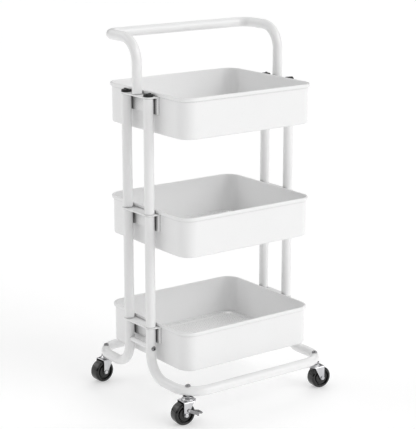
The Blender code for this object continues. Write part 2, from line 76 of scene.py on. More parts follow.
TUBE_R = (high_of("upper_post_front_right").x - low_of("upper_post_front_right").x) / 2
POST_X = centre_of("upper_post_front_right").x
POST_Y = centre_of("upper_post_rear_right").y
BASE_Z = low_of("base_tube_front").z + TUBE_R
BASE_RUN_Y = high_of("base_tube_rear").y - TUBE_R
RAIL_Z = high_of("handle_tube").z - TUBE_R
RAIL_Y = high_of("handle_tube").y - TUBE_R
BAR_Z = centre_of("cross_bar_left").z
BAR_R = (high_of("cross_bar_left").z - low_of("cross_bar_left").z) / 2
BASE_BEND_R = 52.0 * MM
BASE_CORNER_R = 56.0 * MM
RAIL_BEND_R = 52.0 * MM
RAIL_CORNER_R = 30.0 * MM
TUBE_CHAMFER = 0.6 * MM
TUBE_SIDES = 48
BEND_STEPS = 28

# Baskets
SHEET = 1.2 * MM
RIM_REACH = 3.8 * MM
RIM_TALL = 8.0 * MM
BASKET_HALF_X = high_of("basket_top").x - RIM_REACH
BASKET_HALF_Y = high_of("basket_top").y - RIM_REACH
BASKET_CORNER_R = 31.5 * MM
BASKET_FOOT_R = 4.0 * MM
SLOT_PITCH = 4.5 * MM
SLOT_HALF = 1.15 * MM
SLOT_MARGIN = 1.6 * MM
HOLE_PITCH = 6.0 * MM
HOLE_R = 1.9 * MM
BAND = 18.0 * MM
EDGE_INSET = BASKET_FOOT_R + 0.4 * MM
MIDDLE_INSET = EDGE_INSET + BAND / 2
INNER_INSET = EDGE_INSET + BAND
SAME_SPOT = 0.01 * MM

# Brackets
PLATE_ROUND_R = 12.5 * MM
PLATE_EDGE = 0.5 * MM
CHANNEL_HALF_Y = 57.0 * MM
CHANNEL_FACE_X = 179.4 * MM
CHANNEL_SHEET = 1.5 * MM
CHANNEL_BEND = 2.5 * MM
CHANNEL_EDGE = 0.2 * MM
CHANNEL_OVERLAP = 1.0 * MM

# Screws
SCREW_HEAD_R = 5.5 * MM
BAR_SCREW_TALL = 3.6 * MM
RAIL_SCREW_TALL = 3.4 * MM
SCREW_SINK = 0.2 * MM

# Knobs, in each knob's own frame
KNOB_R = 11.0 * MM
KNOB_DISC = 5.0 * MM
KNOB_CROWN = 0.4 * MM
KNOB_FLUTE = 0.35 * MM
KNOB_FLUTES = 20
KNOB_SIDES = 120
WING_HALF_X = KNOB_R - 1.2 * MM
WING_HALF_Y = 3.1 * MM
WING_TOP = KNOB_DISC + 2.0 * MM
WING_ANGLES = {"front_left": 25, "rear_left": 80, "front_right": -15, "rear_right": 40}

# Casters, in each caster's own frame: x points from the swivel axis toward the wheel
WHEEL_R = 25.0 * MM
WHEEL_HALF_WIDTH = 12.5 * MM
TRAIL = 13.0 * MM
CROWN_Z = 52.2 * MM
CROWN_NOSE_R = 17.5 * MM
CROWN_FRONT_X = -8.0 * MM
FORK_SHEET = 1.6 * MM
FORK_INNER = 14.0 * MM
FORK_HALF = FORK_INNER + FORK_SHEET
FORK_TOP = CROWN_Z + FORK_SHEET
FORK_FOLD_R = 3.0 * MM
FORK_FLAT = FORK_HALF - FORK_FOLD_R
FORK_TIP_R = 5.0 * MM
FORK_TANGENT = radians(205.0)
STEM_R = 6.0 * MM
STEM_COLLAR_R = 6.5 * MM
STEM_FLANGE_R = 11.5 * MM
STEM_FLANGE_Z = 60.4 * MM
NUT_R = 6.3 * MM
NUT_TALL = 2.5 * MM
NUT_CHAMFER = 0.5 * MM
NUT_DOME_R = 4.8 * MM
AXLE_R = 3.0 * MM
AXLE_HEAD_R = 4.6 * MM
AXLE_HEAD_TALL = 2.4 * MM
RIVET_R = 2.0 * MM
LEVER_INNER = FORK_HALF + GAP
LEVER_SHEET = 1.2 * MM
LEVER_HALF = LEVER_INNER + LEVER_SHEET
LEVER_PIVOT = Vector((TRAIL - 6.5 * MM, 0.0, 34.0 * MM))
LEVER_BOSS_R = 4.0 * MM
PAD_FAR = -24.2 * MM
PAD_NEAR = -22.0 * MM
PEDAL_HALF = 11.0 * MM
PEDAL_THICK = 3.4 * MM
PEDAL_LENGTH = 17.0 * MM
PEDAL_SLOPE = radians(10.8)
PEDAL_DROP = 11.8 * MM
RIDGE_HALF = 0.8 * MM
ON_AXLE = Matrix.Translation((TRAIL, 0.0, WHEEL_R)) @ Matrix.Rotation(pi / 2, 4, "X")

# Studio
LENS = 119.95
LENS_SHIFT = (0.0126, 0.0212)
VIEWPOINT = (-1.8566, -2.5129, 1.2029)
VIEW_DIRECTION = (0.57085, 0.78087, -0.25371)
VIEW_ROLL = radians(0.05)
AMBIENT = 0.61
FLOOR_GLOW = 0.39
FLOOR_HALF = 30.0
LIGHT_SPREAD = radians(50.0)
# Each light: name, where it comes from, power, and whether reflections show it
LIGHTS = (
    ("key", (1.5, -3.2, 1.9), 1.20, True),
    ("back_left", (-2.2, 2.6, 1.8), 0.50, True),
    ("back_right", (2.8, 2.2, 1.8), 0.95, False),
)

SMOOTH_ANGLE = radians(32.0)


# Shader nodes

def new_material(name):
    made = bpy.data.materials.new(name)
    made.use_nodes = True
    return made, made.node_tree.nodes, made.node_tree.links


def object_coordinates(nodes, links, stretch=(1.0, 1.0, 1.0)):
    coordinates = nodes.new("ShaderNodeTexCoord")
    mapping = nodes.new("ShaderNodeMapping")
    mapping.inputs["Scale"].default_value = stretch
    links.new(coordinates.outputs["Object"], mapping.inputs["Vector"])
    return mapping.outputs["Vector"]


def noise(nodes, links, vector, scale, detail=3.0):
    texture = nodes.new("ShaderNodeTexNoise")
    texture.inputs["Scale"].default_value = scale
    texture.inputs["Detail"].default_value = detail
    links.new(vector, texture.inputs["Vector"])
    return texture.outputs["Fac"]


def remap(nodes, links, value, low, high, start=0.3, end=0.7):
    stage = nodes.new("ShaderNodeMapRange")
    stage.inputs["From Min"].default_value = start
    stage.inputs["From Max"].default_value = end
    stage.inputs["To Min"].default_value = low
    stage.inputs["To Max"].default_value = high
    links.new(value, stage.inputs["Value"])
    return stage.outputs["Result"]


def blend_colours(nodes, links, value, first, second):
    ramp = nodes.new("ShaderNodeValToRGB")
    ramp.color_ramp.elements[0].position = 0.3
    ramp.color_ramp.elements[0].color = (*first, 1.0)
    ramp.color_ramp.elements[1].position = 0.7
    ramp.color_ramp.elements[1].color = (*second, 1.0)
    links.new(value, ramp.inputs["Fac"])
    return ramp.outputs["Color"]


def shade_crevices(nodes, links, colour, reach, depth, sideways=False):
    """Paint shade into a colour where other surfaces stand close, as shadow falls in a joint.

    With sideways, only faces that look along X get this painted shade.
    """
    nearby = nodes.new("ShaderNodeAmbientOcclusion")
    nearby.samples = 6
    nearby.inputs["Distance"].default_value = reach
    shade = remap(nodes, links, nearby.outputs["AO"], depth, 1.0, 0.0, 0.85)
    blend = nodes.new("ShaderNodeMix")
    blend.data_type = "RGBA"
    blend.blend_type = "MULTIPLY"
    blend.inputs["Factor"].default_value = 1.0
    if sideways:
        surface = nodes.new("ShaderNodeNewGeometry")
        parts = nodes.new("ShaderNodeSeparateXYZ")
        facing = nodes.new("ShaderNodeMath")
        facing.operation = "ABSOLUTE"
        links.new(surface.outputs["Normal"], parts.inputs[0])
        links.new(parts.outputs["X"], facing.inputs[0])
        links.new(facing.outputs[0], blend.inputs["Factor"])
    links.new(colour, blend.inputs["A"])
    links.new(shade, blend.inputs["B"])
    return blend.outputs["Result"]


def bump(nodes, links, height, depth):
    stage = nodes.new("ShaderNodeBump")
    stage.inputs["Strength"].default_value = 1.0
    stage.inputs["Distance"].default_value = depth
    links.new(height, stage.inputs["Height"])
    return stage.outputs["Normal"]


def finish(name, tones, roughness, patch_scale, grain_scale, grain_depth,
           metallic=0.0, coat=0.0, coat_roughness=0.1, specular=0.5, stretch=(1.0, 1.0, 1.0),
           crevice=None):
    """A surface whose colour, gloss and relief all vary: patches of tone over a finer grain.

    crevice holds what shade_crevices takes after the colour, to paint shade into the crevices.
    """
    made, nodes, links = new_material(name)
    shader = nodes["Principled BSDF"]
    shader.inputs["Metallic"].default_value = metallic
    shader.inputs["Coat Weight"].default_value = coat
    shader.inputs["Coat Roughness"].default_value = coat_roughness
    shader.inputs["Specular IOR Level"].default_value = specular
    vector = object_coordinates(nodes, links, stretch)
    patches = noise(nodes, links, vector, patch_scale)
    grain = noise(nodes, links, vector, grain_scale, 4.0)
    colour = blend_colours(nodes, links, patches, *tones)
    if crevice:
        colour = shade_crevices(nodes, links, colour, *crevice)
    links.new(colour, shader.inputs["Base Color"])
    links.new(remap(nodes, links, grain, *roughness), shader.inputs["Roughness"])
    links.new(bump(nodes, links, grain, grain_depth), shader.inputs["Normal"])
    return made


def paint(name, crevice):
    """White powder coat: glossy, almost even, with painted shade in its crevices."""
    return finish(name, tones=((0.86, 0.86, 0.86), (0.88, 0.88, 0.88)), roughness=(0.27, 0.32),
                  patch_scale=6.0, grain_scale=420.0, grain_depth=0.003 * MM,
                  coat=0.3, coat_roughness=0.12, crevice=crevice)


def make_materials():
    """Every finish on the cart, by the record's slot name."""
    # Each crevice entry paints shade into the base colour where other surfaces stand close.
    return {
        PAINT: paint(PAINT + "_look", (8.0 * MM, 0.10)),
        ZINC: finish(
            ZINC + "_look", tones=((0.52, 0.52, 0.54), (0.68, 0.68, 0.69)),
            roughness=(0.05, 0.14), patch_scale=60.0, grain_scale=700.0, grain_depth=0.01 * MM,
            metallic=1.0, stretch=(1.0, 1.0, 0.35), crevice=(9.0 * MM, 0.05)),
        DARK_STEEL: finish(
            DARK_STEEL + "_look", tones=((0.24, 0.24, 0.245), (0.34, 0.34, 0.345)),
            roughness=(0.18, 0.30), patch_scale=120.0, grain_scale=900.0, grain_depth=0.02 * MM,
            metallic=1.0, crevice=(5.0 * MM, 0.1)),
        RUBBER: finish(
            RUBBER + "_look", tones=((0.004, 0.004, 0.004), (0.009, 0.009, 0.009)),
            roughness=(0.06, 0.14), patch_scale=90.0, grain_scale=1100.0, grain_depth=0.01 * MM,
            crevice=(7.0 * MM, 0.05)),
        KNOB_PLASTIC: finish(
            KNOB_PLASTIC + "_look", tones=((0.008, 0.008, 0.008), (0.014, 0.014, 0.014)),
            roughness=(0.30, 0.44), patch_scale=150.0, grain_scale=2400.0,
            grain_depth=0.03 * MM, specular=0.3),
    }


MATERIALS = make_materials()
# The same paint with its own painted shade in crevices: wide reach in the bracket channels, narrow
# reach at the rims
BRACKET_PAINT = paint("bracket_paint_look", (30.0 * MM, 0.0, True))
BASKET_PAINT = paint("basket_paint_look", (4.0 * MM, 0.0))


# Mesh tools

def object_from(name, work):
    """Close a bmesh into a linked object with outward faces and crisp edges."""
    bmesh.ops.remove_doubles(work, verts=work.verts, dist=0.005 * MM)
    bmesh.ops.recalc_face_normals(work, faces=work.faces)
    mesh = bpy.data.meshes.new(name)
    work.to_mesh(mesh)
    work.free()
    mesh.shade_smooth()
    mesh.set_sharp_from_angle(angle=SMOOTH_ANGLE)
    obj = bpy.data.objects.new(name, mesh)
    bpy.context.scene.collection.objects.link(obj)
    return obj


def apply_modifiers(obj):
    """Keep the evaluated shape and drop the modifiers."""
    evaluated = obj.evaluated_get(bpy.context.evaluated_depsgraph_get())
    mesh = bpy.data.meshes.new_from_object(evaluated)
    obj.modifiers.clear()
    obj.data = mesh
    mesh.shade_smooth()
    mesh.set_sharp_from_angle(angle=SMOOTH_ANGLE)


def unite(obj, tools):
    """Merge closed shapes into one by exact Booleans."""
    for tool in tools:
        merge = obj.modifiers.new(tool.name, "BOOLEAN")
        merge.operation = "UNION"
        merge.solver = "EXACT"
        merge.object = tool
    bpy.context.view_layer.update()
    apply_modifiers(obj)
    for tool in tools:
        bpy.data.objects.remove(tool, do_unlink=True)


def loft(work, rings, capped=True, looped=False):
    """Join closed rings of points, all of one length, with faces."""
    made = [[work.verts.new(point) for point in ring] for ring in rings]
    pairs = list(zip(made, made[1:]))
    if looped:
        pairs.append((made[-1], made[0]))
    for first, second in pairs:
        for index in range(len(first)):
            after = (index + 1) % len(first)
            work.faces.new((first[index], first[after], second[after], second[index]))
    if capped and not looped:
        work.faces.new(made[0][::-1])
        work.faces.new(made[-1])


def rounded(points, radii, steps=5, closed=False):
    """An outline in two dimensions with an arc at each corner that has a radius."""
    made = []
    for index, (point, radius) in enumerate(zip(points, radii)):
        corner = Vector(point)
        if radius == 0 or (not closed and index in (0, len(points) - 1)):
            made.append(corner)
            continue
        back = (Vector(points[index - 1]) - corner).normalized()
        ahead = (Vector(points[(index + 1) % len(points)]) - corner).normalized()
        half = back.angle(ahead) / 2
        centre = corner + (back + ahead).normalized() * radius / sin(half)
        start = corner + back * radius / tan(half) - centre
        end = corner + ahead * radius / tan(half) - centre
        turn = atan2(start.x * end.y - start.y * end.x, start.dot(end))
        for step in range(steps + 1):
            made.append(centre + Matrix.Rotation(turn * step / steps, 2) @ start)
    return made


def profile_of(corners, steps=5, closed=False):
    """An outline from rows of (first coordinate, second coordinate, corner radius)."""
    points = [corner[:2] for corner in corners]
    radii = [corner[2] for corner in corners]
    return rounded(points, radii, steps, closed)


def rounded_bar(low_x, high_x, half_y, radius):
    """A rounded rectangle in plan, between two X values and centred on Y = 0."""
    points = [(low_x, -half_y), (high_x, -half_y), (high_x, half_y), (low_x, half_y)]
    return rounded(points, [radius] * 4, 3, closed=True)


def circle(radius, height, sides=48, flats=0, flute=0.0, flutes=0):
    """A ring of points about Z: round, with flats like a nut, or with grip flutes."""
    points = []
    for side in range(sides):
        angle = 2 * pi * side / sides
        reach = radius
        if flats:
            sector = 2 * pi / flats
            reach = radius * cos(sector / 2) / cos((angle % sector) - sector / 2)
        if flutes:
            reach -= flute * (0.5 - 0.5 * cos(flutes * angle))
        points.append(Vector((reach * cos(angle), reach * sin(angle), height)))
    return points


def turned(name, profile, sides=48, looped=False):
    """Turn a profile of (radius, height) points about Z."""
    work = bmesh.new()
    loft(work, [circle(radius, height, sides) for radius, height in profile],
         capped=False, looped=looped)
    return object_from(name, work)


def slab(name, outline, low, high, edge):
    """A plate cut to an outline in plan, between two heights, with rounded edges."""
    curve = bpy.data.curves.new(name + "_outline", "CURVE")
    curve.dimensions = "2D"
    curve.fill_mode = "BOTH"
    curve.extrude = (high - low) / 2 - edge
    curve.bevel_depth = edge
    curve.bevel_resolution = 2
    curve.offset = -edge
    spline = curve.splines.new("POLY")
    spline.points.add(len(outline) - 1)
    for point, (x, y) in zip(spline.points, outline):
        point.co = (x, y, 0.0, 1.0)
    spline.use_cyclic_u = True
    holder = bpy.data.objects.new(name + "_curve", curve)
    bpy.context.scene.collection.objects.link(holder)
    bpy.context.view_layer.update()
    evaluated = holder.evaluated_get(bpy.context.evaluated_depsgraph_get())
    mesh = bpy.data.meshes.new_from_object(evaluated)
    work = bmesh.new()
    work.from_mesh(mesh)
    bmesh.ops.translate(work, verts=work.verts, vec=(0.0, 0.0, (low + high) / 2))
    bpy.data.objects.remove(holder, do_unlink=True)
    return object_from(name, work)


def upright_slab(name, outline, near, far, edge):
    """A plate cut to an outline in X and Z, between two Y values."""
    obj = slab(name, outline, -far, -near, edge)
    obj.data.transform(Matrix.Rotation(pi / 2, 4, "X"))
    return obj


def tube_rings(path):
    """Rings along a tube's path, each turned from the last by the least angle."""
    count = len(path)
    tangents = []
    for index in range(count):
        before = path[max(index - 1, 0)]
        after = path[min(index + 1, count - 1)]
        tangents.append((after - before).normalized())
    across = tangents[0].orthogonal().normalized()
    rings = []
    for index, (centre, tangent) in enumerate(zip(path, tangents)):
        if index:
            across = tangents[index - 1].rotation_difference(tangent) @ across
        other = tangent.cross(across)
        reach = TUBE_R - TUBE_CHAMFER if index in (0, count - 1) else TUBE_R
        ring = []
        for side in range(TUBE_SIDES):
            angle = 2 * pi * side / TUBE_SIDES
            ring.append(centre + (across * cos(angle) + other * sin(angle)) * reach)
        rings.append(ring)
    return rings


def tube(name, route):
    """A round tube along a route, its end edges broken by a small chamfer."""
    first = (route[1] - route[0]).normalized()
    last = (route[-2] - route[-1]).normalized()
    path = [route[0], route[0] + first * TUBE_CHAMFER, *route[1:-1],
            route[-1] + last * TUBE_CHAMFER, route[-1]]
    work = bmesh.new()
    loft(work, tube_rings(path))
    return object_from(name, work)


def bend_route(corners, radii):
    """Follow a chain of square corners, each inner one rounded with its own bend radius."""
    points = [Vector(corners[0])]
    for index, radius in enumerate(radii, start=1):
        corner = Vector(corners[index])
        back = (Vector(corners[index - 1]) - corner).normalized()
        ahead = (Vector(corners[index + 1]) - corner).normalized()
        centre = corner + (back + ahead) * radius
        for step in range(BEND_STEPS + 1):
            angle = pi / 2 * step / BEND_STEPS
            points.append(centre - ahead * radius * cos(angle) - back * radius * sin(angle))
    points.append(Vector(corners[-1]))
    return points


def settle(obj, slot, body, node, place=None):
    """Put a finished piece in place, with its finish, on its body and over its CAD node."""
    if place:
        obj.data.transform(place)
    obj.data.materials.clear()
    obj.data.materials.append(MATERIALS[slot])
    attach(obj, body)
    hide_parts(node)
    return obj


# Tubes

def build_base_tube(side_name, side):
    node = f"base_tube_{side_name}"
    leg_top = high_of(node).z
    corners = []
    for end in (-1, 1):
        leg = [
            (end * POST_X, side * POST_Y, leg_top),
            (end * POST_X, side * POST_Y, BASE_Z),
            (end * POST_X, side * BASE_RUN_Y, BASE_Z),
        ]
        corners += leg if end < 0 else leg[::-1]
    radii = (BASE_BEND_R, BASE_CORNER_R, BASE_CORNER_R, BASE_BEND_R)
    settle(tube(node + "_look", bend_route(corners, radii)), PAINT, BODY, node)


def build_hand_rail():
    node = "handle_tube"
    foot_z = low_of(node).z
    corners = [
        (-POST_X, 0.0, foot_z),
        (-POST_X, 0.0, RAIL_Z),
        (-POST_X, RAIL_Y, RAIL_Z),
        (POST_X, RAIL_Y, RAIL_Z),
        (POST_X, 0.0, RAIL_Z),
        (POST_X, 0.0, foot_z),
    ]
    radii = (RAIL_BEND_R, RAIL_CORNER_R, RAIL_CORNER_R, RAIL_BEND_R)
    settle(tube(node + "_look", bend_route(corners, radii)), PAINT, BODY, node)


def build_posts():
    for level, below in (("middle", "bottom"), ("upper", "middle")):
        for side_name, side in SIDES:
            for end_name, end in ENDS:
                node = f"{level}_post_{side_name}_{end_name}"
                foot = high_of(f"bracket_{below}_{end_name}").z + GAP
                x, y = end * POST_X, side * POST_Y
                route = [Vector((x, y, foot)), Vector((x, y, high_of(node).z))]
                settle(tube(node + "_look", route), PAINT, BODY, node)


def build_cross_bar(end_name, end):
    """A round bar whose ends are cut to the curve of the legs they meet."""
    node = f"cross_bar_{end_name}"
    work = bmesh.new()
    sides = 40
    rings = []
    for side in (-1, 1):
        ring = []
        for step in range(sides):
            angle = 2 * pi * step / sides
            x = BAR_R * cos(angle)
            reach = POST_Y - sqrt(TUBE_R ** 2 - x ** 2)
            ring.append(Vector((end * POST_X + x, side * reach, BAR_Z + BAR_R * sin(angle))))
        rings.append(ring)
    loft(work, rings)
    settle(object_from(node + "_look", work), PAINT, BODY, node)


# Baskets

def stations_round(half_x, half_y, radius, pitch, band_radius):
    """Stations round a rounded rectangle, two for each slot: (core point, outward direction)."""
    core_x, core_y = half_x - radius, half_y - radius
    corners = [Vector((core_x, core_y)), Vector((-core_x, core_y)),
               Vector((-core_x, -core_y)), Vector((core_x, -core_y))]
    stations = []
    for quarter, corner in enumerate(corners):
        before = corners[quarter - 1]
        angle = quarter * pi / 2
        direction = Vector((cos(angle), sin(angle)))
        steps = 2 * round((corner - before).length / pitch)
        for step in range(steps):
            stations.append((before.lerp(corner, step / steps), direction))
        steps = 2 * round(pi / 2 * band_radius / pitch)
        for step in range(steps):
            turned_by = angle + pi / 2 * step / steps
            stations.append((corner, Vector((cos(turned_by), sin(turned_by)))))
    return stations


def station_point(station, inset, along=0.0):
    """The point at a station that is this far in from the wall, moved along the outline."""
    core, direction = station
    tangent = Vector((-direction.y, direction.x))
    return core + direction * (BASKET_CORNER_R - inset) + tangent * along


class FloorSheet:
    """A flat sheet of cells: each shares its border points with its neighbours and has a hole."""

    def __init__(self):
        self.work = bmesh.new()
        self.spots = {}
        self.holes = set()

    def spot(self, point):
        key = (round(point.x / SAME_SPOT), round(point.y / SAME_SPOT))
        if key not in self.spots:
            self.spots[key] = self.work.verts.new((point.x, point.y, 0.0))
        return self.spots[key]

    def add_cell(self, border, hole):
        around = [self.spot(point) for point in border]
        inside = [self.work.verts.new((point.x, point.y, 0.0)) for point in hole]
        self.holes.update(inside)
        for index in range(len(around)):
            after = (index + 1) % len(around)
            self.work.faces.new((around[index], around[after], inside[after], inside[index]))


def add_slot_band(sheet, stations):
    """A band of cells along the outline, each with one slot that points inward."""
    first, last = EDGE_INSET + SLOT_MARGIN, INNER_INSET - SLOT_MARGIN
    shoulder = 0.6 * SLOT_HALF
    slot_outline = (
        (first + shoulder, -SLOT_HALF), (first, 0.0), (first + shoulder, SLOT_HALF),
        (MIDDLE_INSET, SLOT_HALF),
        (last - shoulder, SLOT_HALF), (last, 0.0), (last - shoulder, -SLOT_HALF),
        (MIDDLE_INSET, -SLOT_HALF))
    for cell in range(0, len(stations), 2):
        start, middle, end = [stations[(cell + step) % len(stations)] for step in range(3)]
        border_outline = (
            (start, EDGE_INSET), (middle, EDGE_INSET), (end, EDGE_INSET), (end, MIDDLE_INSET),
            (end, INNER_INSET), (middle, INNER_INSET), (start, INNER_INSET),
            (start, MIDDLE_INSET))
        border = [station_point(station, inset) for station, inset in border_outline]
        slot = [station_point(middle, inset, along) for inset, along in slot_outline]
        sheet.add_cell(border, slot)


def add_hole_grid(sheet):
    """A grid of square cells inside the band, each with one round hole."""
    half_x = BASKET_HALF_X - INNER_INSET
    half_y = BASKET_HALF_Y - INNER_INSET
    corner_r = BASKET_CORNER_R - INNER_INSET
    clear = 0.3 * HOLE_PITCH
    columns = int(2 * (half_x - clear) / HOLE_PITCH)
    rows = int(2 * (half_y - clear) / HOLE_PITCH)
    for column in range(columns):
        for row in range(rows):
            x = (column - (columns - 1) / 2) * HOLE_PITCH
            y = (row - (rows - 1) / 2) * HOLE_PITCH
            past_x = abs(x) + HOLE_PITCH / 2 - (half_x - corner_r)
            past_y = abs(y) + HOLE_PITCH / 2 - (half_y - corner_r)
            in_corner = past_x > 0 and past_y > 0
            if in_corner and past_x ** 2 + past_y ** 2 > (corner_r * 0.9) ** 2:
                continue
            border, hole = [], []
            for step in range(8):
                angle = step * pi / 4
                direction = Vector((cos(angle), sin(angle)))
                stretch = 1.0 if step % 2 == 0 else sqrt(2.0)
                border.append(Vector((x, y)) + direction * stretch * HOLE_PITCH / 2)
                hole.append(Vector((x, y)) + direction * HOLE_R)
            sheet.add_cell(border, hole)


def perforated_floor(stations):
    """A flat sheet: a band of slots that follows the outline, around a grid of round holes."""
    sheet = FloorSheet()
    add_slot_band(sheet, stations)
    add_hole_grid(sheet)
    outer = {sheet.spot(station_point(station, EDGE_INSET)) for station in stations}
    between = [edge for edge in sheet.work.edges
               if len(edge.link_faces) == 1
               and not any(vert in sheet.holes for vert in edge.verts)
               and not all(vert in outer for vert in edge.verts)]
    bmesh.ops.triangle_fill(sheet.work, use_beauty=True, edges=between)
    return sheet.work, outer


def thicken_floor(work, outer):
    """Give the floor sheet its thickness, and leave it open along its outer edge."""
    rim_edges = [edge for edge in work.edges
                 if len(edge.link_faces) == 1 and all(vert in outer for vert in edge.verts)]
    raised = bmesh.ops.extrude_face_region(work, geom=work.faces[:], use_keep_orig=True)
    upper = [item for item in raised["geom"] if isinstance(item, bmesh.types.BMVert)]
    bmesh.ops.translate(work, verts=upper, vec=(0.0, 0.0, SHEET))
    work.normal_update()
    sides = [face for edge in rim_edges for face in edge.link_faces if abs(face.normal.z) < 0.5]
    bmesh.ops.delete(work, geom=list(set(sides)), context="FACES_ONLY")


def basket_mesh(rim_z, floor_z):
    """One pressed tray: perforated floor, foot radius, walls and a rolled rim."""
    band_radius = BASKET_CORNER_R - EDGE_INSET - BAND / 2
    stations = stations_round(BASKET_HALF_X, BASKET_HALF_Y, BASKET_CORNER_R,
                              SLOT_PITCH, band_radius)
    work, outer = perforated_floor(stations)
    thicken_floor(work, outer)
    bmesh.ops.translate(work, verts=work.verts, vec=(0.0, 0.0, floor_z))
    floor_top = floor_z + SHEET
    rim_low = rim_z - RIM_TALL
    profile = profile_of((
        (EDGE_INSET, floor_top, 0),
        (SHEET, floor_top, 2.0 * MM),
        (SHEET, rim_z, 1.9 * MM),
        (-RIM_REACH, rim_z, 2.3 * MM),
        (-RIM_REACH, rim_low, 1.7 * MM),
        (0.0, rim_low, 0.3 * MM),
        (0.0, floor_z, BASKET_FOOT_R),
        (EDGE_INSET, floor_z, 0),
    ))
    rings = []
    for inset, height in profile:
        ring = []
        for station in stations:
            point = station_point(station, inset)
            ring.append((point.x, point.y, height))
        rings.append(ring)
    loft(work, rings, capped=False)
    return work


def build_baskets():
    rim_z = high_of("basket_bottom").z
    first = object_from("basket_bottom_look", basket_mesh(rim_z, low_of("basket_bottom").z))
    for tier in TIERS:
        node = f"basket_{tier}"
        tray = first
        if tier != "bottom":
            tray = bpy.data.objects.new(node + "_look", first.data.copy())
            bpy.context.scene.collection.objects.link(tray)
            tray.data.transform(Matrix.Translation((0.0, 0.0, high_of(node).z - rim_z)))
        settle(tray, PAINT, BODY, node)
        tray.data.materials[0] = BASKET_PAINT


# Brackets

def plate_outline():
    """The right-hand plate: round over each post, straight along the basket wall."""
    inner_x = BASKET_HALF_X + GAP
    points = [(inner_x, -CHANNEL_HALF_Y), (CHANNEL_FACE_X, -CHANNEL_HALF_Y)]
    flare = Vector((CHANNEL_FACE_X - POST_X, CHANNEL_HALF_Y - POST_Y))
    lean = atan2(flare.y, flare.x) - atan2(sqrt(flare.length_squared - PLATE_ROUND_R ** 2),
                                           PLATE_ROUND_R)
    steps = 14
    for side, start, end in ((-1, -lean, 0.0), (1, 0.0, lean)):
        for step in range(steps + 1):
            angle = start + (end - start) * step / steps
            points.append((POST_X + PLATE_ROUND_R * cos(angle),
                           side * POST_Y + PLATE_ROUND_R * sin(angle)))
    points += [(CHANNEL_FACE_X, CHANNEL_HALF_Y), (inner_x, CHANNEL_HALF_Y)]
    return points


def channel_outline():
    """The right-hand channel in plan: a back plate with a flange folded in at each end."""
    inner_x = BASKET_HALF_X + GAP
    face_in = CHANNEL_FACE_X - CHANNEL_SHEET
    half_in = CHANNEL_HALF_Y - CHANNEL_SHEET
    inner_bend = CHANNEL_BEND - CHANNEL_SHEET
    outer = rounded([(inner_x, -CHANNEL_HALF_Y), (CHANNEL_FACE_X, -CHANNEL_HALF_Y),
                     (CHANNEL_FACE_X, CHANNEL_HALF_Y), (inner_x, CHANNEL_HALF_Y)],
                    (0, CHANNEL_BEND, CHANNEL_BEND, 0))
    inner = rounded([(inner_x, half_in), (face_in, half_in), (face_in, -half_in),
                     (inner_x, -half_in)], (0, inner_bend, inner_bend, 0))
    return outer + inner


def build_bracket(tier, end_name, end):
    node = f"bracket_{tier}_{end_name}"
    post_below = {"bottom": "base_tube_front", "middle": f"middle_post_front_{end_name}",
                  "top": f"upper_post_front_{end_name}"}[tier]
    plate_low = high_of(post_below).z + GAP
    bracket = slab(node + "_look", plate_outline(), plate_low, high_of(node).z, PLATE_EDGE)
    channel = slab(node + "_channel", channel_outline(), low_of(node).z,
                   plate_low + CHANNEL_OVERLAP, CHANNEL_EDGE)
    unite(bracket, [channel])
    turn = Matrix.Rotation(pi if end < 0 else 0.0, 4, "Z")
    settle(bracket, PAINT, BODY, node, turn)
    bracket.data.materials[0] = BRACKET_PAINT


# Screws, nuts and knobs

def socket_screw(name, head_tall):
    """A domed screw head with a hexagonal socket, standing on z = 0."""
    head_r = SCREW_HEAD_R
    dome = profile_of(((head_r, 0.0, 0), (head_r, head_tall, 0.8 * head_r), (0.0, head_tall, 0)), 8)
    socket_r = 0.46 * head_r
    socket_mouth = head_tall * 0.97
    socket_floor = head_tall * 0.35
    socket_centre = head_tall * 0.30
    crown = [point for point in dome if point.x > socket_r * 1.1]
    rings = [circle(0.0, 0.0), circle(head_r, 0.0)]
    rings += [circle(radius, height) for radius, height in crown]
    rings += [circle(socket_r, socket_mouth, flats=6), circle(socket_r, socket_floor, flats=6),
              circle(0.0, socket_centre)]
    work = bmesh.new()
    loft(work, rings, capped=False)
    return object_from(name, work)


def build_screws():
    for end_name, end in ENDS:
        for side_name, side in SIDES:
            node = f"cross_bar_screw_{side_name}_{end_name}"
            head = socket_screw(node + "_look", BAR_SCREW_TALL)
            seat = (end * POST_X, side * (POST_Y + TUBE_R - SCREW_SINK), BAR_Z)
            place = Matrix.Translation(seat) @ Matrix.Rotation(-side * pi / 2, 4, "X")
            settle(head, DARK_STEEL, BODY, node, place)
        node = f"handle_screw_{end_name}"
        head = socket_screw(node + "_look", RAIL_SCREW_TALL)
        seat = (end * POST_X, 0.0, low_of(node).z + RAIL_SCREW_TALL)
        settle(head, DARK_STEEL, BODY, node,
               Matrix.Translation(seat) @ Matrix.Rotation(pi, 4, "X"))


def knob_disc(name):
    """A flat disc with a fluted edge and a top that rises a little to its middle."""
    profile = profile_of((
        (0.0, 0.0, 0),
        (KNOB_R, 0.0, 0.7 * MM),
        (KNOB_R, KNOB_DISC, 1.8 * MM),
        (0.0, KNOB_DISC + KNOB_CROWN, 0),
    ), 6)
    rings = []
    for radius, height in profile:
        flute = KNOB_FLUTE if radius > 0.93 * KNOB_R else 0.0
        rings.append(circle(radius, height, KNOB_SIDES, flute=flute, flutes=KNOB_FLUTES))
    work = bmesh.new()
    loft(work, rings, capped=False)
    return object_from(name, work)


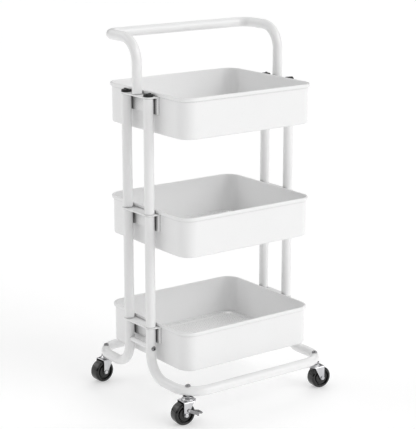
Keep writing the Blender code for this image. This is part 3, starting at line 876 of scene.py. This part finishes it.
def knob_wing(name):
    """The rounded wing across a knob: layers of (how far it draws in, height)."""
    layers = (
        (0.0, KNOB_DISC - 2.0 * MM),
        (0.0, WING_TOP - 1.6 * MM),
        (0.35 * MM, WING_TOP - 0.7 * MM),
        (1.0 * MM, WING_TOP - 0.15 * MM),
        (1.6 * MM, WING_TOP),
    )
    rings = []
    for inset, height in layers:
        x, y = WING_HALF_X - inset, WING_HALF_Y - inset
        outline = rounded([(x, -y), (x, y), (-x, y), (-x, -y)], [0.92 * y] * 4, 6, closed=True)
        rings.append([(point.x, point.y, height) for point in outline])
    work = bmesh.new()
    loft(work, rings)
    return object_from(name, work)


def build_knob(side_name, side, end_name, end):
    """A flat thumb screw: a fluted disc with a rounded wing across it."""
    corner = f"{side_name}_{end_name}"
    body = f"clamp_knob_{corner}"
    knob = knob_disc(body + "_look")
    unite(knob, [knob_wing(body + "_wing")])
    seat = (end * POST_X, side * POST_Y, high_of(f"bracket_top_{end_name}").z + GAP)
    turn = Matrix.Rotation(radians(WING_ANGLES[corner]), 4, "Z")
    settle(knob, KNOB_PLASTIC, body, body, Matrix.Translation(seat) @ turn)


# Casters

def build_stem(tag, place):
    """The threaded stem: a foot in the crown, a flange under the tube and a collar inside it."""
    node = f"{tag}_stem"
    foot = CROWN_Z - 1.6 * MM
    flange_top = BASE_Z - TUBE_R - GAP
    collar_top = flange_top + 2.4 * MM
    profile = profile_of((
        (0.0, foot, 0),
        (STEM_R, foot, 0.4 * MM),
        (STEM_R, STEM_FLANGE_Z, 0.2 * MM),
        (STEM_FLANGE_R, STEM_FLANGE_Z, 0.6 * MM),
        (STEM_FLANGE_R, flange_top, 0.6 * MM),
        (STEM_COLLAR_R, flange_top, 0.3 * MM),
        (STEM_COLLAR_R, collar_top, 0.4 * MM),
        (0.0, collar_top, 0),
    ))
    settle(turned(node + "_look", profile), ZINC, BODY, node, place)


def build_cap_nut(tag, place):
    """A dome nut: a hexagon under a round cap."""
    node = f"{tag}_nut"
    seat = BASE_Z + TUBE_R - 0.4 * MM
    top = high_of(node).z
    hexagon_top = seat + NUT_TALL
    rings = [circle(0.0, seat), circle(NUT_R, seat, flats=6),
             circle(NUT_R, hexagon_top - NUT_CHAMFER, flats=6),
             circle(NUT_R * 0.88, hexagon_top)]
    steps = 8
    for step in range(steps + 1):
        angle = pi / 2 * step / steps
        height = hexagon_top + (top - hexagon_top) * sin(angle)
        rings.append(circle(NUT_DOME_R * cos(angle), height))
    work = bmesh.new()
    loft(work, rings, capped=False)
    settle(object_from(node + "_look", work), DARK_STEEL, BODY, node, place)


def build_race(tag, body, place):
    """The domed ball race with its rolled lip, turning with the fork."""
    node = f"{tag}_race"
    low = FORK_TOP
    high = STEM_FLANGE_Z - GAP
    lip_top = low + 2.2 * MM
    bore_r, dome_r, lip_r = 5.0 * MM, 13.2 * MM, 14.5 * MM
    profile = profile_of((
        (bore_r, low, 0),
        (bore_r, high, 0.3 * MM),
        (9.6 * MM, high, 2.6 * MM),
        (dome_r, low + 3.4 * MM, 0.5 * MM),
        (dome_r, lip_top, 0.3 * MM),
        (lip_r, lip_top, 0.8 * MM),
        (lip_r, low, 0),
    ), 6)
    settle(turned(node + "_look", profile, 64, looped=True), ZINC, body, node, place)


def fork_tip_reach(height):
    """How far the round tip of a fork leg reaches from the axle line at a height below it."""
    return sqrt(max(FORK_TIP_R ** 2 - (WHEEL_R - height) ** 2, 0.0))


def fork_front(height):
    """Where the leading edge of a fork leg stands at a height: slanted, then round the tip."""
    tip_x = TRAIL + FORK_TIP_R * cos(FORK_TANGENT)
    tip_z = WHEEL_R + FORK_TIP_R * sin(FORK_TANGENT)
    if height < tip_z:
        return TRAIL - fork_tip_reach(height)
    share = (height - tip_z) / (FORK_TOP - tip_z)
    return tip_x + (CROWN_FRONT_X - tip_x) * share


def fork_back(height):
    """Where the trailing edge of a fork leg stands at a height: upright, then round the tip."""
    if height < WHEEL_R:
        return TRAIL + fork_tip_reach(height)
    return TRAIL + FORK_TIP_R


def fork_section():
    """Points (y, height) across the folded sheet: up one leg, over the crown, down the other."""
    tip_z = WHEEL_R - FORK_TIP_R
    fold_z = FORK_TOP - FORK_FOLD_R
    heights = [tip_z + FORK_TIP_R * (1 - cos(radians(angle))) for angle in (12, 25, 40, 55, 72, 90)]
    heights += [WHEEL_R + (fold_z - WHEEL_R) * step / 8 for step in range(1, 9)]
    leg = [(-FORK_HALF, height) for height in heights]
    for step in range(1, 7):
        angle = pi / 2 * step / 6
        leg.append((-FORK_HALF + FORK_FOLD_R * (1 - cos(angle)),
                    FORK_TOP - FORK_FOLD_R * (1 - sin(angle))))
    crown = [(-FORK_FLAT + 2 * FORK_FLAT * step / 12, FORK_TOP) for step in range(1, 12)]
    return leg + crown + [(-y, height) for y, height in leg[::-1]]


def fork_sheet(name):
    """The folded sheet of a fork, still without thickness."""
    columns = 10
    work = bmesh.new()
    rows = []
    for y, height in fork_section():
        nose = -sqrt(CROWN_NOSE_R ** 2 - y ** 2)
        front = nose
        if abs(y) > FORK_FLAT:
            share = min(1.0, (FORK_TOP - height) / FORK_FOLD_R)
            front = nose + (fork_front(height) - nose) * share
        back = fork_back(height)
        row = []
        for column in range(columns + 1):
            x = front + (back - front) * column / columns
            row.append(work.verts.new((x, y, height)))
        rows.append(row)
    for first, second in zip(rows, rows[1:]):
        for column in range(columns):
            work.faces.new((first[column], first[column + 1], second[column + 1], second[column]))
    return object_from(name, work)


def fork_rivets(tag):
    """The two rivets that the brake lever turns about, one on each leg."""
    start = FORK_HALF - 0.8 * MM
    length = LEVER_SHEET + GAP + 1.6 * MM
    profile = profile_of((
        (0.0, 0.0, 0),
        (RIVET_R, 0.0, 0),
        (RIVET_R, length, 0.6 * MM),
        (0.0, length, 0),
    ))
    rivets = []
    for side in (-1, 1):
        rivet = turned(f"{tag}_rivet", profile, 24)
        seat = Matrix.Translation((LEVER_PIVOT.x, side * start, LEVER_PIVOT.z))
        rivet.data.transform(seat @ Matrix.Rotation(-side * pi / 2, 4, "X"))
        rivets.append(rivet)
    return rivets


def build_fork(tag, body, place, braked):
    """A fork folded from one sheet: a round-nosed crown with two tapered legs."""
    node = f"{tag}_fork"
    fork = fork_sheet(node + "_look")
    upward = max(fork.data.polygons, key=lambda face: face.center.z).normal.z > 0
    shell = fork.modifiers.new("sheet", "SOLIDIFY")
    shell.thickness = FORK_SHEET
    shell.offset = -1.0 if upward else 1.0
    shell.use_even_offset = True
    edge = fork.modifiers.new("edges", "BEVEL")
    edge.width = 0.35 * MM
    edge.segments = 2
    edge.limit_method = "ANGLE"
    edge.angle_limit = radians(50)
    bpy.context.view_layer.update()
    apply_modifiers(fork)
    if braked:
        unite(fork, fork_rivets(tag))
    settle(fork, ZINC, body, node, place)


def build_wheel(tag, place):
    """A solid wheel: a flat web round the hub, a deep groove, then the tread with its shoulders."""
    node = f"{tag}_wheel"
    side = WHEEL_HALF_WIDTH
    hub = side + 1.2 * MM
    groove = side - 5.0 * MM
    near = profile_of((
        (3.3 * MM, hub, 0),
        (6.4 * MM, hub, 0.5 * MM),
        (7.2 * MM, side - 1.6 * MM, 0.8 * MM),
        (14.4 * MM, side - 1.2 * MM, 0.5 * MM),
        (14.9 * MM, groove, 1.0 * MM),
        (17.6 * MM, groove, 1.0 * MM),
        (18.2 * MM, side - 0.4 * MM, 0.4 * MM),
        (19.4 * MM, side, 0.3 * MM),
        (22.0 * MM, side, 1.4 * MM),
        (WHEEL_R - 0.25 * MM, side - 2.8 * MM, 1.2 * MM),
        (WHEEL_R, 0.0, 0),
    ), 4)
    far = [Vector((point.x, -point.y)) for point in near[-2::-1]]
    wheel = turned(node + "_look", near + far, 96, looped=True)
    settle(wheel, RUBBER, node, node, place @ ON_AXLE)


def build_axle(tag, body, place, braked):
    """A rivet with a low domed head on each side of the fork."""
    node = f"{tag}_axle"
    inner = FORK_HALF - 0.2 * MM
    cheek = LEVER_HALF + GAP if braked else FORK_HALF + GAP
    outer = cheek + AXLE_HEAD_TALL
    near = profile_of((
        (AXLE_R, 0.0, 0),
        (AXLE_R, inner, 0),
        (AXLE_HEAD_R, inner, 0.3 * MM),
        (AXLE_HEAD_R, outer, 1.4 * MM),
        (0.0, outer, 0),
    ), 6)
    far = [Vector((point.x, -point.y)) for point in near[:0:-1]]
    axle = turned(node + "_look", far + near, 40)
    settle(axle, ZINC, body, node, place @ ON_AXLE)


def brake_pedal(name):
    """A stamped pedal with turned-down edges and four grip ridges, sloping from its root."""
    low, high = -PEDAL_THICK / 2, PEDAL_THICK / 2
    end_half = PEDAL_HALF * 0.92
    end_corner = 6.0 * MM
    outline = profile_of((
        (0.0, -PEDAL_HALF, 0),
        (0.0, PEDAL_HALF, 0),
        (-PEDAL_LENGTH, end_half, end_corner),
        (-PEDAL_LENGTH, -end_half, end_corner),
    ), 10, closed=True)
    pedal = slab(name + "_look", outline, low, high - 0.5 * MM, 1.1 * MM)
    ridges = []
    for index in range(4):
        x = -PEDAL_LENGTH + (3.6 + 3.2 * index) * MM
        reach = PEDAL_HALF * min(0.56 + 0.1 * index, 0.74)
        bar = rounded_bar(x - RIDGE_HALF, x + RIDGE_HALF, reach, 0.6 * MM)
        ridges.append(slab(f"{name}_ridge_{index}", bar, high - 1.6 * MM, high, 0.4 * MM))
    unite(pedal, ridges)
    root = Matrix.Translation(((PAD_FAR + PAD_NEAR) / 2, 0.0, -PEDAL_DROP))
    pedal.data.transform(root @ Matrix.Rotation(-PEDAL_SLOPE, 4, "Y"))
    return pedal


def brake_arms(name):
    """Two flat arms from the pad to the rivets, round at the rivet end."""
    arm_foot = PAD_FAR - 0.2 * MM
    outline = [(arm_foot, -16.0 * MM)]
    steps = 14
    for step in range(steps + 1):
        angle = radians(-62.0 + 180.0 * step / steps)
        outline.append((LEVER_BOSS_R * cos(angle), LEVER_BOSS_R * sin(angle)))
    outline.append((arm_foot, -8.6 * MM))
    skin = 0.02 * MM
    arms = []
    for side, label in ((-1, "near"), (1, "far")):
        near, far = sorted((side * (LEVER_INNER + skin), side * (LEVER_HALF - skin)))
        arms.append(upright_slab(f"{name}_arm_{label}", outline, near, far, 0.25 * MM))
    return arms


def build_brake_lever(tag, place):
    """A pedal, a brake pad across the wheel and two arms, all one piece."""
    node = f"{tag}_brake_lever"
    lever = brake_pedal(node)
    pad_outline = rounded_bar(PAD_FAR, PAD_NEAR, LEVER_HALF - 0.5 * MM, 0.5 * MM)
    pad = slab(node + "_pad", pad_outline, -16.4 * MM, -8.2 * MM, 0.3 * MM)
    unite(lever, [pad, *brake_arms(node)])
    body = f"{tag}_brake"
    settle(lever, DARK_STEEL, body, node, place @ Matrix.Translation(LEVER_PIVOT))


def build_caster(side_name, end_name):
    tag = f"caster_{side_name}_{end_name}"
    body = f"{tag}_swivel"
    braked = f"{tag}_brake_lever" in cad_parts
    pivot = centre_of(f"{tag}_stem")
    wheel = centre_of(f"{tag}_axle")
    turn = atan2(wheel.y - pivot.y, wheel.x - pivot.x)
    still = Matrix.Translation((pivot.x, pivot.y, 0.0))
    place = still @ Matrix.Rotation(turn, 4, "Z")
    build_stem(tag, still)
    build_cap_nut(tag, still)
    build_race(tag, body, place)
    build_fork(tag, body, place, braked)
    build_wheel(tag, place)
    build_axle(tag, body, place, braked)
    if braked:
        build_brake_lever(tag, place)


def build_cart():
    for side_name, side in SIDES:
        build_base_tube(side_name, side)
    build_hand_rail()
    build_posts()
    build_baskets()
    for end_name, end in ENDS:
        build_cross_bar(end_name, end)
        for tier in TIERS:
            build_bracket(tier, end_name, end)
    build_screws()
    for end_name, end in ENDS:
        for side_name, side in SIDES:
            build_knob(side_name, side, end_name, end)
    for side_name, _ in SIDES:
        for end_name, _ in ENDS:
            build_caster(side_name, end_name)


# Studio

def build_camera():
    """The photograph's viewpoint: in front of the left corner, a little above the top basket."""
    camera = bpy.data.cameras.new("camera")
    camera.sensor_width = 36.0
    camera.lens = LENS
    camera.shift_x, camera.shift_y = LENS_SHIFT
    camera.clip_end = 100.0
    viewer = bpy.data.objects.new("camera", camera)
    bpy.context.scene.collection.objects.link(viewer)
    viewer.location = VIEWPOINT
    forward = Vector(VIEW_DIRECTION)
    upright = forward.to_track_quat("-Z", "Y").to_matrix().to_4x4()
    roll = Matrix.Rotation(VIEW_ROLL, 4, forward)
    viewer.rotation_mode = "QUATERNION"
    viewer.rotation_quaternion = (roll @ upright).to_quaternion()
    bpy.context.scene.camera = viewer


def broad_light(name, source, power, mirrored):
    """A wide soft light from the direction of source. Reflections show it only when mirrored."""
    light = bpy.data.lights.new(name, "SUN")
    light.angle = LIGHT_SPREAD
    light.energy = power
    lamp = bpy.data.objects.new(name, light)
    bpy.context.scene.collection.objects.link(lamp)
    lamp.location = source
    lamp.visible_glossy = mirrored
    lamp.rotation_euler = Vector(source).to_track_quat("Z", "Y").to_euler()


def grey_bands(nodes, links, height, stops):
    """A grey that changes with height: pairs of (height, tone), joined smoothly."""
    bands = nodes.new("ShaderNodeValToRGB")
    made = bands.color_ramp.elements
    while len(made) < len(stops):
        made.new(1.0)
    for element, (position, tone) in zip(made, stops):
        element.position = position
        element.color = (tone, tone, tone, 1.0)
    links.new(height, bands.inputs["Fac"])
    return bands.outputs["Color"]


def build_world():
    """Light that grows with height, a white background, and dark bands for the reflections."""
    world = bpy.data.worlds.new("studio")
    world.use_nodes = True
    bpy.context.scene.world = world
    nodes, links = world.node_tree.nodes, world.node_tree.links
    ambient = nodes["Background"]
    ambient.inputs["Strength"].default_value = AMBIENT
    backdrop = nodes.new("ShaderNodeBackground")
    backdrop.inputs["Strength"].default_value = 1.0
    backdrop.inputs["Color"].default_value = (1.0, 1.0, 1.0, 1.0)
    mirrored = nodes.new("ShaderNodeBackground")
    mirrored.inputs["Strength"].default_value = 1.0
    directions = nodes.new("ShaderNodeTexCoord")
    parts = nodes.new("ShaderNodeSeparateXYZ")
    links.new(directions.outputs["Generated"], parts.inputs[0])
    height = parts.outputs["Z"]
    links.new(grey_bands(nodes, links, height, ((0.30, 0.45), (0.50, 1.0))),
              ambient.inputs["Color"])
    links.new(grey_bands(nodes, links, height, ((0.02, 0.95), (0.08, 0.06), (0.36, 0.10),
                                                (0.44, 1.0), (0.74, 1.0), (0.86, 0.25))),
              mirrored.inputs["Color"])
    rays = nodes.new("ShaderNodeLightPath")
    by_reflection = nodes.new("ShaderNodeMixShader")
    by_camera = nodes.new("ShaderNodeMixShader")
    links.new(rays.outputs["Is Glossy Ray"], by_reflection.inputs[0])
    links.new(ambient.outputs[0], by_reflection.inputs[1])
    links.new(mirrored.outputs[0], by_reflection.inputs[2])
    links.new(rays.outputs["Is Camera Ray"], by_camera.inputs[0])
    links.new(by_reflection.outputs[0], by_camera.inputs[1])
    links.new(backdrop.outputs[0], by_camera.inputs[2])
    links.new(by_camera.outputs[0], nodes["World Output"].inputs["Surface"])


def build_floor():
    """A pale floor that glows a little, so that it reads as white as the background."""
    work = bmesh.new()
    bmesh.ops.create_grid(work, x_segments=2, y_segments=2, size=FLOOR_HALF)
    floor = object_from("floor", work)
    made, nodes, links = new_material("pale_floor")
    shader = nodes["Principled BSDF"]
    vector = object_coordinates(nodes, links)
    patches = noise(nodes, links, vector, 1.5)
    links.new(blend_colours(nodes, links, patches, (0.65, 0.65, 0.65), (0.67, 0.67, 0.67)),
              shader.inputs["Base Color"])
    shader.inputs["Roughness"].default_value = 0.6
    shader.inputs["Specular IOR Level"].default_value = 0.2
    shader.inputs["Emission Color"].default_value = (1.0, 1.0, 1.0, 1.0)
    shader.inputs["Emission Strength"].default_value = FLOOR_GLOW
    floor.data.materials.append(made)


def build_studio():
    bpy.context.scene.view_settings.view_transform = "Standard"
    build_camera()
    build_world()
    build_floor()
    for name, source, power, mirrored in LIGHTS:
        broad_light(name, source, power, mirrored)


build_studio()
build_cart()
